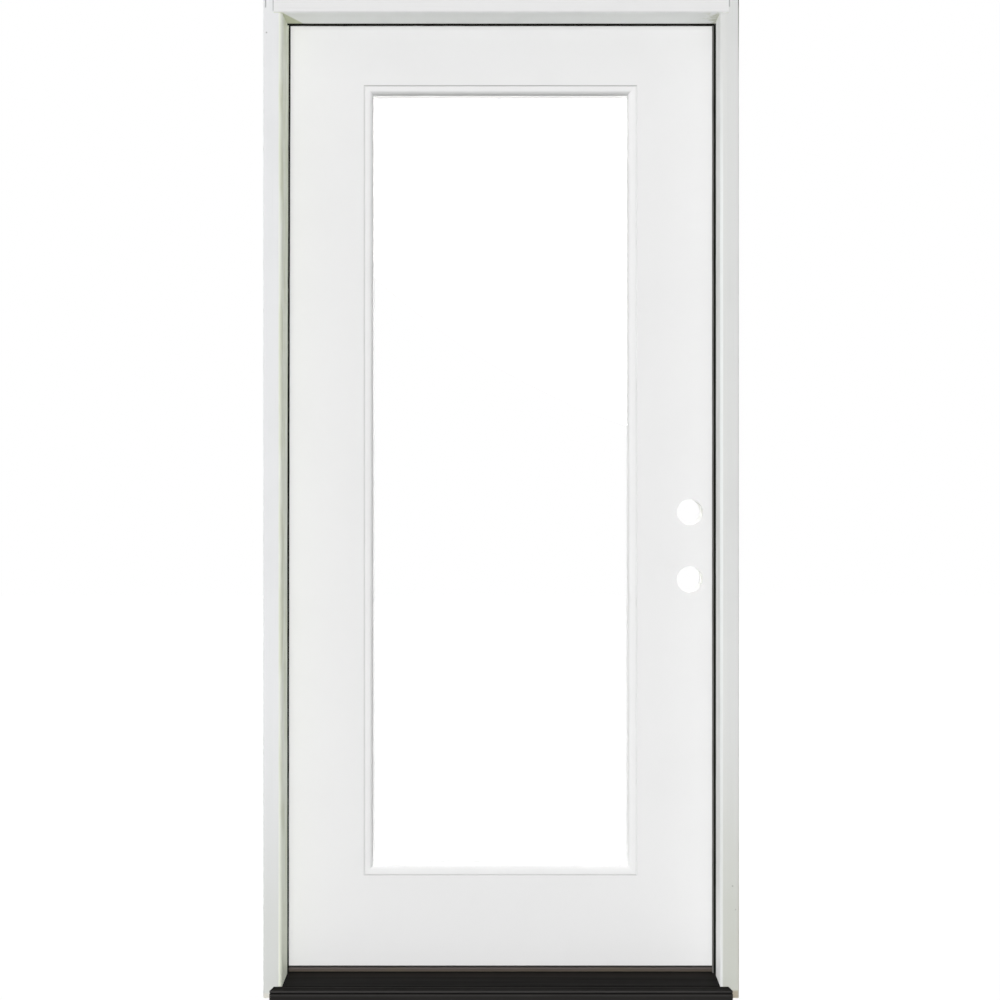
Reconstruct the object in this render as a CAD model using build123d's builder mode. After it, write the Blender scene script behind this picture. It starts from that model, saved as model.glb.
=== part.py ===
from build123d import *
import os

os.makedirs("parts", exist_ok=True)

# Prehung full-lite fibreglass entry door, left-hand inswing, in millimetres.
# X runs across the doorway, -Y is outdoors, +Y is indoors and Z is up.
# The origin is the middle of the sill's underside.

# Slab
slab_width = 904.4
slab_height = 1963.0
slab_thickness = 44.45
skin_thickness = 2.0
lock_edge_bevel = 2.8
stile_width = 32.0
top_rail_height = 60.0
bottom_rail_height = 75.0

# Gaps round the slab
side_gap = 5.0
head_gap = 5.0
seal_gap = 8.05
sweep_gap = 5.0

# Frame
jamb_depth = 115.9
jamb_thickness = 38.1
stop_height = 14.3
side_stop_round = 8.0
head_stop_round = 4.5
eased_edge = 2.4
head_housing = 3.0

# Weatherstrip in its kerf
kerf_inset = 1.6
kerf_width = 3.0
kerf_depth = 10.0
seal_tail_clearance = 0.3
seal_proud = 3.1
latch_seal_proud = 5.5
seal_clearance = 0.3
seal_round = 3.0

# Seal pads at the foot of the jambs
pad_height = 76.0
pad_depth = 26.0
pad_thickness = 3.0

# Sill
nose_reach = 22.0
nose_height = 17.0
nose_end_inset = 16.4
nose_flare = 5.5
lip_groove_height = 2.0
lip_groove_depth = 2.6
lip_set_back = 0.6
lip_thickness = 4.0
ramp_top = 25.0
rib_groove_count = 3
rib_groove_width = 1.4
rib_groove_pitch = 7.5
rib_groove_set_back = 6.0
deck_sheet = 2.0
channel_floor = 14.0
back_sill_height = 27.0
cap_set_back = 1.0
cap_width = 38.0
cap_rise = 8.0
cap_round = 2.0

# Door bottom sweep
sweep_plate = 1.8
sweep_edge_inset = 4.0
sweep_fin_count = 3
sweep_fin_width = 2.2
sweep_clearance = 0.3

# Lite: the daylight opening is what the borders leave, centred on the outdoor face
lite_border_side = 187.2
lite_border_top = 153.5
lite_border_bottom = 206.0
lite_cutout_margin = 15.0
glass_margin = 12.0
glass_sheet = 3.2
glass_air_space = 15.6
spacer_width = 6.5
trim_width = 17.5
trim_crown = 0.4
trim_round_width = 9.5
trim_round_drop = 9.0
trim_leg = 6.0
quirk_depth = 1.6

# Lock preparation
cross_bore_radius = 27.0
edge_bore_radius = 12.7
backset = 60.3
lockset_height = 802.0
bore_spacing = 139.7
latch_face_height = 57.2
latch_face_width = 25.4
latch_face_depth = 3.2
latch_face_round = 6.3
lock_block_width = 110.0
lock_block_height = 330.0
strike_width = 28.6
strike_depth = 2.4
strike_bore_depth = 14.0

# Butt hinges
hinge_height = 101.6
leaf_thickness = 2.3
leaf_reach = 44.0
leaf_corner = 15.9
pin_offset = 6.4
pin_radius = 3.9
pin_clearance = 0.05
knuckle_radius = 5.9
knuckle_count = 5
knuckle_gap = 0.3
pin_head_height = 3.0
pin_tip_radius = 4.6
lower_hinge_height = 330.0
upper_hinge_drop = 229.0

# Places worked out from the sizes above
slab_half = slab_width / 2
rabbet_half = slab_half + side_gap
stop_half = rabbet_half - stop_height
rabbet_backing = jamb_thickness - stop_height
frame_half = rabbet_half + rabbet_backing
head_half = rabbet_half + head_housing
frame_front = -jamb_depth / 2
frame_back = jamb_depth / 2
slab_back = frame_back
slab_front = slab_back - slab_thickness
slab_middle = (slab_front + slab_back) / 2
stop_back = slab_front - seal_gap
cap_top = ramp_top + cap_rise
slab_bottom = cap_top + sweep_gap
slab_top = slab_bottom + slab_height
rabbet_top = slab_top + head_gap
stop_top = rabbet_top - stop_height
frame_top = rabbet_top + rabbet_backing
core_front = slab_front + skin_thickness
core_back = slab_back - skin_thickness
core_depth = core_back - core_front
sill_front = frame_front - nose_reach
lip_top = nose_height + lip_groove_height + lip_thickness
cap_front = slab_front + cap_set_back
cap_back = cap_front + cap_width
daylight_width = slab_width - 2 * lite_border_side
daylight_height = slab_height - lite_border_top - lite_border_bottom
outdoor_face_middle = -lock_edge_bevel / 2
lite_bottom = slab_bottom + lite_border_bottom
lite_middle = lite_bottom + daylight_height / 2
cutout_half = daylight_width / 2 + lite_cutout_margin
cutout_bottom = lite_bottom - lite_cutout_margin
cutout_top = lite_bottom + daylight_height + lite_cutout_margin
skin_opening_width = daylight_width + 2 * trim_width
skin_opening_height = daylight_height + 2 * trim_width
bore_x = slab_half - backset
bore_heights = [slab_bottom + lockset_height, slab_bottom + lockset_height + bore_spacing]
block_middle = sum(bore_heights) / len(bore_heights)
pin_x = -(rabbet_half + slab_half) / 2
pin_y = slab_back + pin_offset
knuckle_length = hinge_height / knuckle_count
lower_hinge = slab_bottom + lower_hinge_height
upper_hinge = slab_top - upper_hinge_drop
hinges = {"lower": lower_hinge, "middle": (lower_hinge + upper_hinge) / 2, "upper": upper_hinge}


def hinge_side(inward, depth):
    """Plan point of the left jamb, measured inward from its outer face."""
    return (inward - frame_half, depth)


def latch_side(inward, depth):
    """Plan point of the right jamb, measured inward from its outer face."""
    return (frame_half - inward, depth)


def head_side(inward, depth):
    """Section point of the head jamb, measured down from its top face."""
    return (depth, frame_top - inward)


def jamb_section(plane, place):
    """Board of a jamb, with its outdoor and indoor corners eased."""
    with BuildSketch(plane) as section:
        with BuildLine():
            Polyline(
                place(0, frame_front),
                place(rabbet_backing, frame_front),
                place(rabbet_backing, frame_back),
                place(0, frame_back),
                close=True,
            )
        make_face()
        for corner in (place(0, frame_front), place(rabbet_backing, frame_back)):
            fillet(section.vertices().sort_by_distance(Vertex(*corner, 0))[0], radius=eased_edge)
    return section.sketch


def stop_section(plane, place, stop_round):
    """Stop of a jamb, with its rounded corner and the weatherstrip's kerf."""
    kerf_outer = rabbet_backing + kerf_inset
    kerf_inner = kerf_outer + kerf_width
    with BuildSketch(plane) as section:
        with BuildLine():
            Polyline(
                place(rabbet_backing, frame_front),
                place(jamb_thickness, frame_front),
                place(jamb_thickness, stop_back),
                place(kerf_inner, stop_back),
                place(kerf_inner, stop_back - kerf_depth),
                place(kerf_outer, stop_back - kerf_depth),
                place(kerf_outer, stop_back),
                place(rabbet_backing, stop_back),
                close=True,
            )
        make_face()
        corner = Vertex(*place(jamb_thickness, frame_front), 0)
        fillet(section.vertices().sort_by_distance(corner)[0], radius=stop_round)
    return section.sketch


def plain_head_section():
    """Outline of head jamb and head stop together, for the notches that house them."""
    with BuildSketch(Plane.YZ) as section:
        with BuildLine():
            Polyline(
                head_side(0, frame_front),
                head_side(jamb_thickness, frame_front),
                head_side(jamb_thickness, stop_back),
                head_side(rabbet_backing, stop_back),
                head_side(rabbet_backing, frame_back),
                head_side(0, frame_back),
                close=True,
            )
        make_face()
    return section.sketch


def seal_section(plane, place, proud):
    """Foam-filled bulb between stop and slab, with the tail that sits in the kerf."""
    outer = rabbet_backing + kerf_inset
    tail_start = outer + seal_tail_clearance
    tail_end = outer + kerf_width - seal_tail_clearance
    inner = jamb_thickness + proud
    bulb_back = slab_front - seal_clearance
    tail_tip = stop_back - kerf_depth + seal_tail_clearance
    with BuildSketch(plane) as section:
        with BuildLine():
            Polyline(
                place(outer, stop_back),
                place(inner, stop_back),
                place(inner, bulb_back),
                place(outer, bulb_back),
                close=True,
            )
        make_face()
        for corner in (place(inner, stop_back), place(inner, bulb_back), place(outer, bulb_back)):
            fillet(section.vertices().sort_by_distance(Vertex(*corner, 0))[0], radius=seal_round)
        with BuildLine():
            Polyline(
                place(tail_start, stop_back),
                place(tail_end, stop_back),
                place(tail_end, tail_tip),
                place(tail_start, tail_tip),
                close=True,
            )
        make_face()
    return section.sketch


def leaf_outline(x, height):
    """Hinge leaf seen along X, rounded at the end that lies in the mortise."""
    with BuildSketch(Plane.YZ.offset(x)) as outline:
        with Locations((pin_y - leaf_reach / 2, height)):
            Rectangle(leaf_reach, hinge_height)
        fillet(outline.vertices().group_by(Axis.X)[0], radius=leaf_corner)
    return outline.sketch


def plate_outline(x, height, width, length, radius):
    """Rounded plate seen along X, for latch faces and strikes."""
    with BuildSketch(Plane.YZ.offset(x)) as outline:
        with Locations((slab_middle, height)):
            RectangleRounded(width, length, radius)
    return outline.sketch


def sill_plan():
    """Plan of the sill: between the rabbets, notched round the stops, horned at the nose."""
    nose_half = frame_half - nose_end_inset
    horn_half = nose_half - nose_flare
    half = [
        (nose_half, sill_front),
        (horn_half, frame_front),
        (stop_half, frame_front),
        (stop_half, stop_back),
        (rabbet_half, stop_back),
        (rabbet_half, frame_back),
    ]
    with BuildSketch(Plane.XY) as plan:
        with BuildLine():
            Polyline(*half, *[(-x, y) for x, y in reversed(half)], close=True)
        make_face()
    return plan.sketch


def trim_section(face, glass, outward):
    """Lite trim: a leg on the glass, a rounded lip and a flush flange that ends in the quirk."""
    inner = outdoor_face_middle + daylight_width / 2
    outer = inner + trim_width
    round_end = inner + trim_round_width
    crown = face + outward * trim_crown
    flange_back = face - outward * skin_thickness
    with BuildSketch(Plane.XY.offset(lite_middle)) as section:
        with BuildLine():
            Polyline(
                (inner, face - outward * trim_round_drop),
                (inner, glass),
                (inner + trim_leg, glass),
                (inner + trim_leg, flange_back),
                (outer, flange_back),
                (outer, face - outward * quirk_depth),
                (outer - quirk_depth, crown),
                (round_end, face),
            )
            EllipticalCenterArc(
                center=(round_end, face - outward * trim_round_drop),
                x_radius=trim_round_width,
                y_radius=trim_round_drop,
                start_angle=180,
                arc_size=-90 * outward,
            )
        make_face()
    return section.sketch


def trim_path(face):
    """Closed path round the daylight opening, starting at the section's own corner."""
    left = outdoor_face_middle - daylight_width / 2
    right = outdoor_face_middle + daylight_width / 2
    with BuildLine() as path:
        Polyline(
            (right, face, lite_middle),
            (right, face, lite_bottom + daylight_height),
            (left, face, lite_bottom + daylight_height),
            (left, face, lite_bottom),
            (right, face, lite_bottom),
            close=True,
        )
    return path.line


def lite_rim(face):
    """Edges round the lite opening of a skin's outer face."""
    return face.inner_wires().sort_by(SortBy.LENGTH)[-1].edges()


def knuckle_heights(middle, first):
    """Middles of every second knuckle, counted up from the foot of the hinge."""
    foot = middle - hinge_height / 2
    return [foot + (index + 0.5) * knuckle_length for index in range(first, knuckle_count, 2)]


# Jambs: each leg is notched at the top for the head
with BuildPart() as hinge_jamb:
    extrude(to_extrude=jamb_section(Plane.XY, hinge_side), amount=frame_top)
    extrude(to_extrude=plain_head_section(), amount=head_half, both=True, mode=Mode.SUBTRACT)
    for height in hinges.values():
        extrude(to_extrude=leaf_outline(-rabbet_half, height), amount=-leaf_thickness, mode=Mode.SUBTRACT)
hinge_jamb.part.label = "hinge_jamb"
export_step(hinge_jamb.part, "parts/hinge_jamb.step")

with BuildPart() as latch_jamb:
    extrude(to_extrude=jamb_section(Plane.XY, latch_side), amount=frame_top)
    extrude(to_extrude=plain_head_section(), amount=head_half, both=True, mode=Mode.SUBTRACT)
    for height in bore_heights:
        strike = plate_outline(rabbet_half, height, strike_width, latch_face_height, latch_face_round)
        extrude(to_extrude=strike, amount=strike_depth, mode=Mode.SUBTRACT)
        with BuildSketch(Plane.YZ.offset(rabbet_half)):
            with Locations((slab_middle, height)):
                Circle(edge_bore_radius)
        extrude(amount=strike_bore_depth, mode=Mode.SUBTRACT)
latch_jamb.part.label = "latch_jamb"
export_step(latch_jamb.part, "parts/latch_jamb.step")

with BuildPart() as head_jamb:
    extrude(to_extrude=jamb_section(Plane.YZ, head_side), amount=head_half, both=True)
head_jamb.part.label = "head_jamb"
export_step(head_jamb.part, "parts/head_jamb.step")

# Stops: the side ones butt against the underside of the head stop
for name, place in {"hinge_stop": hinge_side, "latch_stop": latch_side}.items():
    with BuildPart() as side_stop:
        extrude(to_extrude=stop_section(Plane.XY, place, side_stop_round), amount=stop_top)
    side_stop.part.label = name
    export_step(side_stop.part, f"parts/{name}.step")

with BuildPart() as head_stop:
    section = stop_section(Plane.YZ, head_side, head_stop_round)
    extrude(to_extrude=section, amount=head_half, both=True)
head_stop.part.label = "head_stop"
export_step(head_stop.part, "parts/head_stop.step")

# Weatherstrips: the head strip runs over the tops of the side strips
seal_foot = ramp_top
seal_top = stop_top - seal_proud
seal_end = rabbet_half - kerf_inset
with BuildPart() as hinge_side_weatherstrip:
    section = seal_section(Plane.XY.offset(seal_foot), hinge_side, seal_proud)
    extrude(to_extrude=section, amount=seal_top - seal_foot)
hinge_side_weatherstrip.part.label = "hinge_side_weatherstrip"
export_step(hinge_side_weatherstrip.part, "parts/hinge_side_weatherstrip.step")

with BuildPart() as latch_side_weatherstrip:
    section = seal_section(Plane.XY.offset(seal_foot), latch_side, latch_seal_proud)
    extrude(to_extrude=section, amount=seal_top - seal_foot)
latch_side_weatherstrip.part.label = "latch_side_weatherstrip"
export_step(latch_side_weatherstrip.part, "parts/latch_side_weatherstrip.step")

with BuildPart() as head_weatherstrip:
    extrude(to_extrude=seal_section(Plane.YZ, head_side, seal_proud), amount=seal_end, both=True)
head_weatherstrip.part.label = "head_weatherstrip"
export_step(head_weatherstrip.part, "parts/head_weatherstrip.step")

# Foam pads that seal the foot of each rabbet
pad_middle_x = rabbet_half - pad_thickness / 2
pad_middle_y = slab_front + pad_depth / 2
for name, side in {"hinge_side_corner_pad": -1, "latch_side_corner_pad": 1}.items():
    with BuildPart() as corner_pad:
        with BuildSketch(Plane.XY.offset(cap_top)):
            with Locations((side * pad_middle_x, pad_middle_y)):
                Rectangle(pad_thickness, pad_depth)
        extrude(amount=pad_height)
    corner_pad.part.label = name
    export_step(corner_pad.part, f"parts/{name}.step")

# Sill: a composite base, an aluminium deck that wraps it and an adjustable cap
ramp_foot = sill_front + lip_set_back
ramp_slope = (ramp_top - lip_top) / (cap_front - ramp_foot)
rib_steps = [rib_groove_set_back + index * rib_groove_pitch for index in range(rib_groove_count)]
rib_places = [(ramp_foot + step, lip_top + step * ramp_slope) for step in rib_steps]
with BuildPart() as sill_deck:
    with BuildSketch(Plane.YZ):
        with BuildLine():
            Polyline(
                (sill_front, 0),
                (sill_front, nose_height),
                (sill_front + lip_groove_depth, nose_height),
                (sill_front + lip_groove_depth, nose_height + lip_groove_height),
                (sill_front + lip_set_back, nose_height + lip_groove_height),
                (sill_front + lip_set_back, lip_top),
                (cap_front, ramp_top),
                (cap_front, channel_floor),
                (cap_back, channel_floor),
                (cap_back, back_sill_height),
                (frame_back, back_sill_height),
                (frame_back, 0),
                (frame_back - deck_sheet, 0),
                (frame_back - deck_sheet, back_sill_height - deck_sheet),
                (cap_back + deck_sheet, back_sill_height - deck_sheet),
                (cap_back + deck_sheet, channel_floor - deck_sheet),
                (cap_front - deck_sheet, channel_floor - deck_sheet),
                (cap_front - deck_sheet, ramp_top - deck_sheet),
                (sill_front + lip_groove_depth + deck_sheet, lip_top - deck_sheet),
                (sill_front + lip_groove_depth + deck_sheet, 0),
                close=True,
            )
        make_face()
        with Locations(*rib_places):
            Rectangle(rib_groove_width, rib_groove_width, rotation=45, mode=Mode.SUBTRACT)
    extrude(amount=frame_half, both=True)
    extrude(to_extrude=sill_plan(), amount=ramp_top + cap_rise, mode=Mode.INTERSECT)
sill_deck.part.label = "sill_deck"
export_step(sill_deck.part, "parts/sill_deck.step")

with BuildPart() as sill_base:
    with BuildSketch(Plane.YZ):
        with BuildLine():
            Polyline(
                (sill_front + lip_groove_depth + deck_sheet, 0),
                (sill_front + lip_groove_depth + deck_sheet, lip_top - deck_sheet),
                (cap_front - deck_sheet, ramp_top - deck_sheet),
                (cap_front - deck_sheet, channel_floor - deck_sheet),
                (cap_back + deck_sheet, channel_floor - deck_sheet),
                (cap_back + deck_sheet, back_sill_height - deck_sheet),
                (frame_back - deck_sheet, back_sill_height - deck_sheet),
                (frame_back - deck_sheet, 0),
                close=True,
            )
        make_face()
    extrude(amount=frame_half, both=True)
    extrude(to_extrude=sill_plan(), amount=ramp_top + cap_rise, mode=Mode.INTERSECT)
sill_base.part.label = "sill_base"
export_step(sill_base.part, "parts/sill_base.step")

with BuildPart() as sill_cap:
    with BuildSketch(Plane.YZ) as cap_section:
        with Locations(((cap_front + cap_back) / 2, (channel_floor + cap_top) / 2)):
            Rectangle(cap_width, cap_top - channel_floor)
        fillet(cap_section.vertices().group_by(Axis.Y)[-1], radius=cap_round)
    extrude(amount=rabbet_half, both=True)
sill_cap.part.label = "sill_cap"
export_step(sill_cap.part, "parts/sill_cap.step")

# Slab skins: the outdoor one is narrower by the bevel of the lock edge
with BuildPart() as exterior_skin:
    with BuildSketch(Plane.XZ.offset(-core_front)):
        with Locations((outdoor_face_middle, (slab_bottom + slab_top) / 2)):
            Rectangle(slab_width - lock_edge_bevel, slab_height)
        with Locations((outdoor_face_middle, lite_middle)):
            Rectangle(skin_opening_width, skin_opening_height, mode=Mode.SUBTRACT)
        with Locations(*[(bore_x, height) for height in bore_heights]):
            Circle(cross_bore_radius, mode=Mode.SUBTRACT)
    extrude(amount=skin_thickness)
    chamfer(lite_rim(exterior_skin.faces().sort_by(Axis.Y)[0]), length=quirk_depth)
exterior_skin.part.label = "exterior_skin"
export_step(exterior_skin.part, "parts/exterior_skin.step")

with BuildPart() as interior_skin:
    with BuildSketch(Plane.XZ.offset(-slab_back)):
        with Locations((0, (slab_bottom + slab_top) / 2)):
            Rectangle(slab_width, slab_height)
        with Locations((outdoor_face_middle, lite_middle)):
            Rectangle(skin_opening_width, skin_opening_height, mode=Mode.SUBTRACT)
        with Locations(*[(bore_x, height) for height in bore_heights]):
            Circle(cross_bore_radius, mode=Mode.SUBTRACT)
    extrude(amount=skin_thickness)
    chamfer(lite_rim(interior_skin.faces().sort_by(Axis.Y)[-1]), length=quirk_depth)
    for height in hinges.values():
        extrude(to_extrude=leaf_outline(-slab_half, height), amount=leaf_thickness, mode=Mode.SUBTRACT)
interior_skin.part.label = "interior_skin"
export_step(interior_skin.part, "parts/interior_skin.step")

# Slab edges and core, between the skins
stile_inner = slab_half - stile_width
with BuildPart() as hinge_stile:
    with BuildSketch(Plane.XY.offset(slab_bottom)):
        with Locations((-slab_half + stile_width / 2, (core_front + core_back) / 2)):
            Rectangle(stile_width, core_depth)
    extrude(amount=slab_height)
    for height in hinges.values():
        extrude(to_extrude=leaf_outline(-slab_half, height), amount=leaf_thickness, mode=Mode.SUBTRACT)
hinge_stile.part.label = "hinge_stile"
export_step(hinge_stile.part, "parts/hinge_stile.step")

with BuildPart() as latch_stile:
    with BuildSketch(Plane.XY.offset(slab_bottom)):
        with BuildLine():
            Polyline(
                (stile_inner, core_front),
                (slab_half - lock_edge_bevel, core_front),
                (slab_half, core_back),
                (stile_inner, core_back),
                close=True,
            )
        make_face()
    extrude(amount=slab_height)
    for height in bore_heights:
        face = plate_outline(
            slab_half - latch_face_depth, height, latch_face_width, latch_face_height, latch_face_round
        )
        extrude(to_extrude=face, amount=latch_face_depth, mode=Mode.SUBTRACT)
        with BuildSketch(Plane.YZ.offset(stile_inner)):
            with Locations((slab_middle, height)):
                Circle(edge_bore_radius)
        extrude(amount=stile_width, mode=Mode.SUBTRACT)
latch_stile.part.label = "latch_stile"
export_step(latch_stile.part, "parts/latch_stile.step")

with BuildPart() as top_rail:
    with BuildSketch(Plane.XZ.offset(-core_back)):
        with Locations((0, slab_top - top_rail_height / 2)):
            Rectangle(2 * stile_inner, top_rail_height)
    extrude(amount=core_depth)
top_rail.part.label = "top_rail"
export_step(top_rail.part, "parts/top_rail.step")

with BuildPart() as bottom_rail:
    with BuildSketch(Plane.XZ.offset(-core_back)):
        with Locations((0, slab_bottom + bottom_rail_height / 2)):
            Rectangle(2 * stile_inner, bottom_rail_height)
    extrude(amount=core_depth)
bottom_rail.part.label = "bottom_rail"
export_step(bottom_rail.part, "parts/bottom_rail.step")

block_middle_x = stile_inner - lock_block_width / 2
with BuildPart() as lock_block:
    with BuildSketch(Plane.XZ.offset(-core_back)):
        with Locations((block_middle_x, block_middle)):
            Rectangle(lock_block_width, lock_block_height)
        with Locations(*[(bore_x, height) for height in bore_heights]):
            Circle(cross_bore_radius, mode=Mode.SUBTRACT)
    extrude(amount=core_depth)
    with BuildSketch(Plane.YZ.offset(bore_x)):
        with Locations(*[(slab_middle, height) for height in bore_heights]):
            Circle(edge_bore_radius)
    extrude(amount=stile_inner - bore_x, mode=Mode.SUBTRACT)
lock_block.part.label = "lock_block"
export_step(lock_block.part, "parts/lock_block.step")

core_bottom = slab_bottom + bottom_rail_height
core_top = slab_top - top_rail_height
cutout_left = outdoor_face_middle - cutout_half
cutout_right = outdoor_face_middle + cutout_half
hinge_core_width = cutout_left + stile_inner
latch_core_width = stile_inner - cutout_right
with BuildPart() as foam_core_hinge_side:
    with BuildSketch(Plane.XZ.offset(-core_back)):
        with Locations((cutout_left - hinge_core_width / 2, (core_bottom + core_top) / 2)):
            Rectangle(hinge_core_width, core_top - core_bottom)
    extrude(amount=core_depth)
foam_core_hinge_side.part.label = "foam_core_hinge_side"
export_step(foam_core_hinge_side.part, "parts/foam_core_hinge_side.step")

with BuildPart() as foam_core_latch_side:
    with BuildSketch(Plane.XZ.offset(-core_back)):
        with Locations((cutout_right + latch_core_width / 2, (core_bottom + core_top) / 2)):
            Rectangle(latch_core_width, core_top - core_bottom)
        with Locations((block_middle_x, block_middle)):
            Rectangle(lock_block_width, lock_block_height, mode=Mode.SUBTRACT)
    extrude(amount=core_depth)
foam_core_latch_side.part.label = "foam_core_latch_side"
export_step(foam_core_latch_side.part, "parts/foam_core_latch_side.step")

for name, low, high in (
    ("foam_core_bottom", core_bottom, cutout_bottom),
    ("foam_core_top", cutout_top, core_top),
):
    with BuildPart() as foam_core:
        with BuildSketch(Plane.XZ.offset(-core_back)):
            with Locations((outdoor_face_middle, (low + high) / 2)):
                Rectangle(2 * cutout_half, high - low)
        extrude(amount=core_depth)
    foam_core.part.label = name
    export_step(foam_core.part, f"parts/{name}.step")

# Insulated glass, centred in the slab's thickness
glass_width = daylight_width + 2 * glass_margin
glass_height = daylight_height + 2 * glass_margin
unit_half = glass_sheet + glass_air_space / 2
glass_front = slab_middle - unit_half
glass_back = slab_middle + unit_half
for name, back in (
    ("exterior_glass_pane", glass_front + glass_sheet),
    ("interior_glass_pane", glass_back),
):
    with BuildPart() as pane:
        with BuildSketch(Plane.XZ.offset(-back)):
            with Locations((outdoor_face_middle, lite_middle)):
                Rectangle(glass_width, glass_height)
        extrude(amount=glass_sheet)
    pane.part.label = name
    export_step(pane.part, f"parts/{name}.step")

with BuildPart() as glass_spacer:
    with BuildSketch(Plane.XZ.offset(glass_sheet - glass_back)):
        with Locations((outdoor_face_middle, lite_middle)):
            Rectangle(glass_width, glass_height)
            Rectangle(glass_width - 2 * spacer_width, glass_height - 2 * spacer_width, mode=Mode.SUBTRACT)
    extrude(amount=glass_air_space)
glass_spacer.part.label = "glass_spacer"
export_step(glass_spacer.part, "parts/glass_spacer.step")

# Moulded lite trims, flush with the skins: one section swept round with mitred corners
with BuildPart() as exterior_lite_trim:
    section = trim_section(slab_front, glass_front, -1)
    sweep(sections=section, path=trim_path(slab_front), transition=Transition.RIGHT)
exterior_lite_trim.part.label = "exterior_lite_trim"
export_step(exterior_lite_trim.part, "parts/exterior_lite_trim.step")

with BuildPart() as interior_lite_trim:
    section = trim_section(slab_back, glass_back, 1)
    sweep(sections=section, path=trim_path(slab_back), transition=Transition.RIGHT)
interior_lite_trim.part.label = "interior_lite_trim"
export_step(interior_lite_trim.part, "parts/interior_lite_trim.step")

# Sweep: a plate under the slab with fins that brush the cap
fin_pitch = (cap_width - sweep_edge_inset * 2) / (sweep_fin_count - 1)
fin_places = [cap_front + sweep_edge_inset + index * fin_pitch for index in range(sweep_fin_count)]
fin_foot = cap_top + sweep_clearance
with BuildPart() as door_bottom_sweep:
    with BuildSketch(Plane.YZ):
        with Locations((slab_middle, slab_bottom - sweep_plate / 2)):
            Rectangle(slab_thickness - sweep_edge_inset, sweep_plate)
        for place in fin_places:
            with Locations((place, (fin_foot + slab_bottom) / 2)):
                Rectangle(sweep_fin_width, slab_bottom - fin_foot)
    extrude(amount=slab_half - sweep_edge_inset, both=True)
door_bottom_sweep.part.label = "door_bottom_sweep"
export_step(door_bottom_sweep.part, "parts/door_bottom_sweep.step")

# Butt hinges: the frame leaf has the odd knuckles, the door leaf the even ones
for name, middle in hinges.items():
    frame_knuckles = [(pin_x, pin_y, height) for height in knuckle_heights(middle, 0)]
    door_knuckles = [(pin_x, pin_y, height) for height in knuckle_heights(middle, 1)]

    with BuildPart() as frame_leaf:
        extrude(to_extrude=leaf_outline(-rabbet_half, middle), amount=-leaf_thickness)
        with Locations(*door_knuckles):
            Cylinder(knuckle_radius + knuckle_gap, knuckle_length, mode=Mode.SUBTRACT)
        with Locations(*frame_knuckles):
            Cylinder(knuckle_radius, knuckle_length - knuckle_gap)
        with Locations((pin_x, pin_y, middle)):
            Cylinder(pin_radius + pin_clearance, hinge_height, mode=Mode.SUBTRACT)
    frame_leaf.part.label = f"{name}_hinge_frame_leaf"
    export_step(frame_leaf.part, f"parts/{name}_hinge_frame_leaf.step")

    with BuildPart() as door_leaf:
        extrude(to_extrude=leaf_outline(-slab_half, middle), amount=leaf_thickness)
        with Locations(*frame_knuckles):
            Cylinder(knuckle_radius + knuckle_gap, knuckle_length, mode=Mode.SUBTRACT)
        with Locations(*door_knuckles):
            Cylinder(knuckle_radius, knuckle_length - knuckle_gap)
        with Locations((pin_x, pin_y, middle)):
            Cylinder(pin_radius + pin_clearance, hinge_height, mode=Mode.SUBTRACT)
    door_leaf.part.label = f"{name}_hinge_door_leaf"
    export_step(door_leaf.part, f"parts/{name}_hinge_door_leaf.step")

    shank_foot = -hinge_height / 2
    shank_top = hinge_height / 2
    with BuildPart() as hinge_pin:
        with BuildSketch(Plane(origin=(pin_x, pin_y, middle), x_dir=(1, 0, 0), z_dir=(0, -1, 0))):
            with BuildLine():
                Polyline(
                    (0, shank_foot - pin_head_height),
                    (pin_tip_radius, shank_foot - pin_head_height),
                    (pin_tip_radius, shank_foot),
                    (pin_radius, shank_foot),
                    (pin_radius, shank_top),
                    (knuckle_radius, shank_top),
                    (knuckle_radius, shank_top + pin_head_height),
                    (0, shank_top + pin_head_height),
                    close=True,
                )
            make_face()
        revolve(axis=Axis((pin_x, pin_y, 0), (0, 0, 1)))
    hinge_pin.part.label = f"{name}_hinge_pin"
    export_step(hinge_pin.part, f"parts/{name}_hinge_pin.step")
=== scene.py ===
import math

import bmesh
import bpy
from mathutils import Matrix, Vector


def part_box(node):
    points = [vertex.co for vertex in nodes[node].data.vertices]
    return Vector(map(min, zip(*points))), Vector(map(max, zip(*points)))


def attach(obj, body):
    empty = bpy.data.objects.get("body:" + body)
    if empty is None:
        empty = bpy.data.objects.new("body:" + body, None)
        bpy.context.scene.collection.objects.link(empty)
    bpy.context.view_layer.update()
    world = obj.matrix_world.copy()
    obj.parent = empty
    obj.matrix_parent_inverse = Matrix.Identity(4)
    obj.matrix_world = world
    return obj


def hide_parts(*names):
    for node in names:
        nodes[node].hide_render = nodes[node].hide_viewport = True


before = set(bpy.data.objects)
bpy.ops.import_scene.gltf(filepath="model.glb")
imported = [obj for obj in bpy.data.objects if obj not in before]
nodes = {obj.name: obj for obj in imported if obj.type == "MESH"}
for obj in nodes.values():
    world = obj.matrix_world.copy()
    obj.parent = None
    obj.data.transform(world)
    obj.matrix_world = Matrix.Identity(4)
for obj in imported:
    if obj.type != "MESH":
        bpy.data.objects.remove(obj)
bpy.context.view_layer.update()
scene = bpy.context.scene


# Places of the CAD pieces, in metres, read from the frame


def corners(name):
    """Low and high corner of a CAD piece."""
    low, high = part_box(name)
    return Vector(low), Vector(high)


stop_low, stop_high = corners("latch_stop")
STOP_HALF = stop_low.x
STOP_BACK = stop_high.y
STOP_TOP = stop_high.z
RABBET_HALF = stop_high.x
FRAME_FRONT = stop_low.y
HEAD_HALF = corners("head_stop")[1].x
JAMB_OUTER = corners("latch_jamb")[1].x

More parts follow.
